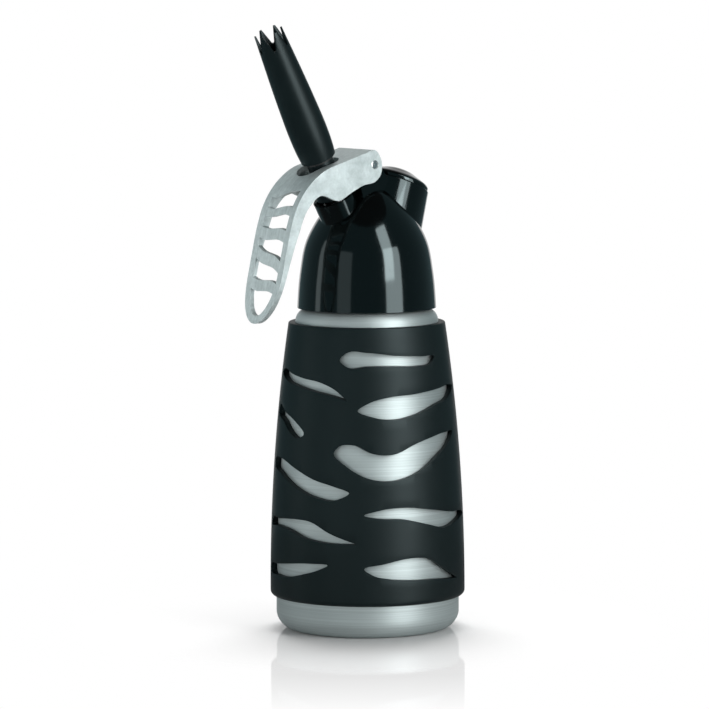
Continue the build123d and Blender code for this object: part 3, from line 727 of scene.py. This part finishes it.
COLLAR_TOP = 54.2
press_collar = turned(
    "press_collar",
    valve,
    corners(
        [
            (3.05, 50.5),
            (7.0, 50.5),
            (7.0, 44.0),
            (8.0, 44.0, 0.3),
            (8.0, 50.5),
            (9.9, 50.5, 0.5),
            (9.9, COLLAR_TOP, 0.8),
            (6.2, COLLAR_TOP, 0.5),
            (6.2, 62.2, 0.4),
            (3.05, 62.2),
        ]
    ),
)
finished(press_collar, "valve_body", nozzle_satin, ["stem_collar"])

TEETH, NOZZLE_TOP = 6, 128.0
nozzle_side = flowing(
    [(8.1, 63.3), (8.5, 67), (8.8, 72), (8.9, 78), (8.6, 90), (8.1, 102), (7.5, 113), (6.6, NOZZLE_TOP)],
    steps=4,
    first=(0.1, 1),
    last=(-0.06, 1),
)
nozzle_inside = [(5.75, NOZZLE_TOP), (5.3, 118.6), (7.2, 88.6), (4.7, 73.6), (3.05, 73.6), (3.05, 63.1)]
tulip_nozzle = turned("tulip_nozzle", valve, [(7.6, 63.1)] + nozzle_side + nozzle_inside)
for tooth in range(TEETH):
    turn = radians((tooth + 0.5) * 360 / TEETH + 22)
    outward = valve.out * cos(turn) + ACROSS * sin(turn)
    across = valve.up.cross(outward)
    notch = [
        valve.origin + (valve.up * along + across * wide) * MM
        for wide, along in corners([(3.05, 128.9), (0, 118.4, 0.6), (-3.05, 128.9)], 4)
    ]
    worked(tulip_nozzle, plate("notch_tool", notch, outward * (12 * MM)), "DIFFERENCE")
eased(tulip_nozzle, 0.25, segments=2, sharper_than=40)
finished(tulip_nozzle, "nozzle_body", nozzle_satin, ["nozzle"])

stem_thread = thread("stem_thread", valve, 2.9, 3.04, 0.7, 64.5, 1.0, 7)
finished(stem_thread, "valve_body", bright_skin)

# ---------------------------------------------------------------- charger port cap

cap_crown = flowing([(0, 53.35), (6.3, 52.5), (10.4, 50.8), (14.3, 49.0)], first=(1, 0), last=(0.85, -0.5))
cap_skirt = corners(
    [
        (14.6, 48.8),
        (15.2, 48.0, 0.5),
        (15.2, 46.55, 0.25),
        (12.2, 46.55),
        (12.2, 42.5),
        (11.0, 42.5),
        (11.0, 40.9),
        (12.2, 40.9),
        (12.2, 38.55, 0.4),
        (10.4, 38.55, 0.3),
        (10.4, 46.55),
        (8.6, 49.75),
        (0, 51.55),
    ]
)
port_cap = turned("port_cap", port, cap_crown + cap_skirt, ring=False)
finished(port_cap, "cap_body", head_gloss, ["inlet_cap"])

# ---------------------------------------------------------------- lever

LEVER_HALF, FLANGE, WEB, EDGE_ROUND = 12.2, 1.9, 2.2, 0.7
TIP_DROP, TIP_ROUND = 69.6, 21.6
TIP_Z = PIVOT[1] - TIP_DROP


def from_pivot(outline):
    """Places seen from the side, from distances out of and above the pivot."""
    return [(PIVOT[0] + out, PIVOT[1] + up) for out, up in outline]


web_points = from_pivot(
    [
        (-26.0, -0.2),
        (-35.0, -4.9),
        (-41.5, -11.0),
        (-45.9, -17.7),
        (-49.1, -26.0),
        (-52.5, -39.0),
        (-55.4, -51.0),
        (-61.4, -TIP_DROP),
    ]
)
flange_points = from_pivot(
    [
        (-4.7, -8.7),
        (-13.1, -11.7),
        (-21.0, -15.4),
        (-32.3, -12.8),
        (-38.9, -17.9),
        (-45.3, -30.7),
        (-51.1, -46.0),
        (-58.6, -TIP_DROP),
    ]
)
eye_line = from_pivot([(-4.7, -8.7), (0.8, -7.4), (3.6, -4.2), (4.2, -1.0), (3.3, 3.2), (-1.0, 6.8)])
web_rear, web_bend = eye_line[-1], web_points[0]
web_line = flowing(web_points, 8, first=(-25, -7), last=(-0.3, -1))
flange_line = flowing(flange_points, 8, first=(-1, -0.1), last=(-0.38, -1))
eye_curve = flowing(eye_line, 5, first=(1, 0.1), last=(-1, -0.28))


def tip_outline(inset):
    """The handle seen from the front: straight sides that close in an elliptic tip."""
    side = LEVER_HALF - inset
    turn_z = TIP_Z + TIP_ROUND
    line = [(side, 226), (-side, 226)]
    for step in range(33):
        turn = pi + pi * step / 32
        line.append((side * cos(turn), turn_z + (TIP_ROUND - inset) * sin(turn)))
    return line


lever_outline = [web_rear] + web_line + flange_line[::-1] + eye_curve[1:-1]
squeeze_lever = side_plate("squeeze_lever", lever_outline, LEVER_HALF)
worked(squeeze_lever, front_plate("tip_tool", tip_outline(0)), "INTERSECT")
eased(squeeze_lever, EDGE_ROUND, segments=4, sharper_than=60)

# The channel's hollow follows the web at one thickness and runs out past both ends.
under_web = []
for before, here, after in zip(web_line, web_line[1:], web_line[2:]):
    along = (after - before).normalized()
    under_web.append(here + Vector((-along.y, along.x)) * WEB)
rear_way = (Vector(web_rear) - Vector(web_bend)).normalized()
end_way = (under_web[-1] - under_web[-2]).normalized()
hollow_rear = under_web[0] + rear_way * 60
hollow_end = under_web[-1] + end_way * 12
hollow_line = [hollow_rear] + under_web + [hollow_end, (hollow_rear.x, 120)]
hollow_tool = side_plate("hollow_tool", hollow_line, LEVER_HALF)
worked(hollow_tool, front_plate("hollow_limit", tip_outline(FLANGE)), "INTERSECT")
worked(squeeze_lever, hollow_tool, "DIFFERENCE")

# A rounded pad under the web presses the collar.
PAD_R, PAD_GAP = 2.5, 0.3
pad_place = valve.at(0, COLLAR_TOP + PAD_GAP + PAD_R) / MM
pad_turns = [pi + pi * step / 16 for step in range(17)]
pad_line = [(pad_place.x + PAD_R * cos(turn), pad_place.z + PAD_R * sin(turn)) for turn in pad_turns]
pad_line += [(pad_place.x + PAD_R, pad_place.z + PAD_R), (pad_place.x - PAD_R, pad_place.z + PAD_R)]
worked(squeeze_lever, side_plate("pad_tool", pad_line, LEVER_HALF - 1.0), "UNION")

# The slot lets the collar's boss through while the lever turns.
SLOT_X, SLOT_RUN, SLOT_ROUND, SLOT_FROM = -28.65, 3.65, 6.8, 205
slot_line = []
for end in (-1, 1):
    for step in range(25):
        turn = (step / 24 - 0.5 * end) * pi
        x = SLOT_X + end * SLOT_RUN + SLOT_ROUND * cos(turn)
        slot_line.append(mm(x, SLOT_ROUND * sin(turn), SLOT_FROM))
worked(squeeze_lever, plate("slot_tool", slot_line, mm(0, 0, 30)), "DIFFERENCE")

# The window's top is a drop below the pivot and a lean. A bar is its middle's drop, its height and its lean.
RAIL, WAVE, WAVE_CREST = 3.5, 0.9, 4.0
WINDOW_TOP = (12.0, -0.12)
handle_bars = [(19.7, 3.7, 0.02), (29.7, 5.1, 0.15), (41.0, 5.3, 0.42), (52.7, 4.8, 0.20)]


def wavy_edge(drop, lean):
    """An edge across the handle at a depth below the pivot, with one wave to each side."""
    across = (-LEVER_HALF, -WAVE_CREST, 0, WAVE_CREST, LEVER_HALF)
    waves = (0, WAVE, 0, -WAVE, 0)
    return flowing([(y, PIVOT[1] - drop + y * lean + wave) for y, wave in zip(across, waves)], 8)


def bar_tool(above, below):
    """What stays between two edges across the handle."""
    line = [mm(-90, p.x, p.y) for p in above + below[::-1]]
    return plate("bar_tool", line, mm(80, 0, 0))


window_tool = plate("window_tool", [mm(-80, *p) for p in tip_outline(RAIL)], mm(60, 0, 0))
over_windows = [Vector((-LEVER_HALF, 240)), Vector((LEVER_HALF, 240))]
worked(window_tool, bar_tool(over_windows, wavy_edge(*WINDOW_TOP)), "DIFFERENCE")
for drop, height, lean in handle_bars:
    bar = bar_tool(wavy_edge(drop - height / 2, lean), wavy_edge(drop + height / 2, lean))
    worked(window_tool, bar, "DIFFERENCE")
eased(window_tool, 0.6, segments=3, sharper_than=50)
worked(squeeze_lever, window_tool, "DIFFERENCE")
worked(squeeze_lever, rod("eye_tool", PIN_PLACE, ACROSS, PIN_R + 0.05, 30), "DIFFERENCE")
eased(squeeze_lever, 0.25, segments=2, sharper_than=40)
levelled(squeeze_lever)
finished(squeeze_lever, "lever_body", lever_metal, ["lever"], smooth=0)

pivot_rivet = rod("pivot_rivet", PIN_PLACE, ACROSS, PIN_R, 2 * LEVER_HALF - 0.6)
eased(pivot_rivet, 0.5)
finished(pivot_rivet, "head_body", bright_skin, ["pivot_pin"])

# ---------------------------------------------------------------- pieces kept as they are

kept = {
    "valve_guide": brass_skin,
    "guide_seal": seal_skin,
    "stem_seals": seal_skin,
    "valve_spring": bright_skin,
    "inlet_body": brass_skin,
    "inlet_nut": brass_skin,
    "piercing_pin": bright_skin,
    "charger_seal": seal_skin,
    "valve_stem": bright_skin,
    "valve_seal": seal_skin,
    "nozzle_washer": seal_skin,
    "cap_seal": seal_skin,
}
for name, finish in kept.items():
    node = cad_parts[name]
    node.data.materials.clear()
    node.data.materials.append(finish)

# ---------------------------------------------------------------- floor, light and camera

WHITE = (1.0, 1.0, 1.0, 1.0)


def backdrop_rays(pen):
    """1 on the rays that see the backdrop: straight, mirrored or through glass."""
    path = pen.node("ShaderNodeLightPath")
    straight, mirrored, through = (
        Value(pen, path.outputs[name]) for name in ("Is Camera Ray", "Is Glossy Ray", "Is Transmission Ray")
    )
    return straight, straight.sum("MAXIMUM", straight.sum("MAXIMUM", straight, mirrored), through)


bpy.ops.object.select_all(action="DESELECT")
bpy.ops.mesh.primitive_circle_add(vertices=96, radius=0.30, fill_type="NGON", location=(0, 0, 0))
floor = bpy.context.object
floor.name = "floor"
floor_finish = bpy.data.materials.new("floor_paint")
floor_finish.use_nodes = True
pen = Pen(floor_finish.node_tree)
pen.tree.nodes.clear()
straight, seen = backdrop_rays(pen)
place = pen.node("ShaderNodeTexCoord").outputs["Object"]
reach = Value(pen, pen.node("ShaderNodeVectorMath", {"operation": "LENGTH"}, {0: place}).outputs["Value"])
# Painted light: past about 0.09 m from the middle, the floor glows plain white, which paints over the lamps'
# shadows there. Nearer the foot it has little or no glow, so the ring round the foot is painted darker than
# the rest of the floor, and only lamp light and real shadow show there.
painted_white_away = reach.above(0.090, 0.09)
# Mirrors see a darker floor than the camera does.
dusk = 0.92 * (1 - straight)
paint = pen.node("ShaderNodeBsdfDiffuse", None, {"Color": (0.80, 0.80, 0.80, 1.0)})
glow = pen.node("ShaderNodeEmission", None, {"Color": WHITE, "Strength": seen * 0.10 * painted_white_away})
near = pen.node("ShaderNodeAddShader", None, {0: paint.outputs[0], 1: glow.outputs[0]})
plain = pen.node("ShaderNodeEmission", None, {"Color": WHITE, "Strength": 1 - dusk})
open_floor = seen * painted_white_away.sum("MAXIMUM", painted_white_away, dusk * 0.8)
table = pen.node("ShaderNodeMixShader", None, {0: open_floor, 1: near.outputs[0], 2: plain.outputs[0]})
sheen = pen.node("ShaderNodeBsdfGlossy", None, {"Color": WHITE, "Roughness": 0.05})
mirror = 0.22 * (1 - reach.above(0.19, 0.10))
polished = pen.node("ShaderNodeMixShader", None, {0: mirror, 1: table.outputs[0], 2: sheen.outputs[0]})
pen.node("ShaderNodeOutputMaterial", None, {"Surface": polished.outputs[0]})
floor.data.materials.append(floor_finish)

world = bpy.data.worlds.new("studio")
bpy.context.scene.world = world
world.use_nodes = True
pen = Pen(world.node_tree)
pen.tree.nodes.clear()
straight, seen = backdrop_rays(pen)
way = pen.node("ShaderNodeTexCoord").outputs["Generated"]
rise = Value(pen, pen.node("ShaderNodeSeparateXYZ", None, {0: way}).outputs["Z"])
steep = (rise.above(0.38, 0.36) + (0 - rise).above(0.5, 0.2)) * (1 - straight)
level = 0.20 + seen * (0.80 - 0.95 * steep)
backdrop = pen.node("ShaderNodeBackground", None, {"Color": WHITE, "Strength": level})
pen.node("ShaderNodeOutputWorld", None, {"Surface": backdrop.outputs[0]})

TARGET = Vector((0, 0, 0.110))
AZIMUTH, ELEVATION = radians(-40), radians(6.1)
back = Vector((sin(AZIMUTH) * cos(ELEVATION), -cos(AZIMUTH) * cos(ELEVATION), sin(ELEVATION)))
right = Vector((cos(AZIMUTH), sin(AZIMUTH), 0))
above = back.cross(right)


def studio_light(name, azimuth, elevation, distance, width, height, radiance, mirrored=True, spread=True):
    """A soft box that faces the bottle, placed by its angle to the right of the camera."""
    turn, rise = AZIMUTH + radians(azimuth), radians(elevation)
    way = Vector((sin(turn) * cos(rise), -cos(turn) * cos(rise), sin(rise)))
    lamp = bpy.data.lights.new(name, "AREA")
    lamp.shape = "RECTANGLE"
    lamp.size, lamp.size_y = width, height
    lamp.energy = radiance * pi * width * height
    item = bpy.data.objects.new(name, lamp)
    bpy.context.scene.collection.objects.link(item)
    item.location = TARGET + way * distance
    item.rotation_euler = way.to_track_quat("Z", "Y").to_euler()
    item.visible_camera = False
    item.visible_glossy = mirrored
    item.visible_diffuse = spread
    return item


studio_light("key_box", 47, 8, 0.95, 0.49, 0.80, 5.5)
studio_light("high_box", 40, 34, 0.90, 0.28, 0.74, 7.2, spread=False)
studio_light("left_box", -88, 8, 1.2, 0.22, 1.0, 1.3)
studio_light("left_fill", -38, 6, 1.1, 0.45, 0.8, 0.65)
studio_light("side_fill", -75, -18, 1.2, 0.8, 0.6, 10.5, mirrored=False)
studio_light("front_fill", -20, -2, 1.2, 0.8, 0.6, 5.0, mirrored=False)
studio_light("top_box", 180, 66, 1.2, 0.7, 0.7, 11.0, mirrored=False)


def dark_card(name, first, last, low, high, distance):
    """A bowed dark card that only reflections see, from one angle to another right of the camera."""
    line = []
    for step in range(13):
        turn = AZIMUTH + radians(first + (last - first) * step / 12)
        line.append(Vector((sin(turn), -cos(turn), 0)) * distance + Vector((0, 0, low)))
    card = drawn(name, line)
    with editing(card):
        bpy.ops.mesh.extrude_region_move(TRANSFORM_OT_translate={"value": (0, 0, high - low)})
    card.data.materials.append(card_finish)
    card.visible_camera = False
    card.visible_diffuse = False
    card.visible_shadow = False
    card.visible_transmission = False
    return card


card_finish = bpy.data.materials.new("dark_card")
card_finish.use_nodes = True
pen = Pen(card_finish.node_tree)
pen.tree.nodes.clear()
glow = pen.node("ShaderNodeEmission", None, {"Color": (0.13, 0.20, 0.215, 1.0), "Strength": 1.0})
pen.node("ShaderNodeOutputMaterial", None, {"Surface": glow.outputs[0]})
dark_card("front_card", -155, 155, -1.2, 2.6, 1.6)

camera = bpy.data.cameras.new("camera")
camera.sensor_width = 36
camera.lens = 254.4
camera.clip_start, camera.clip_end = 0.05, 50
viewer = bpy.data.objects.new("camera", camera)
bpy.context.scene.collection.objects.link(viewer)
viewer.location = TARGET + back * 2.300
aim = -back - right * 0.002465 + above * 0.006985
viewer.rotation_euler = aim.to_track_quat("-Z", "Y").to_euler()
viewer.rotation_euler.rotate_axis("Z", radians(-0.2))
bpy.context.scene.camera = viewer
bpy.context.scene.view_settings.view_transform = "Standard"
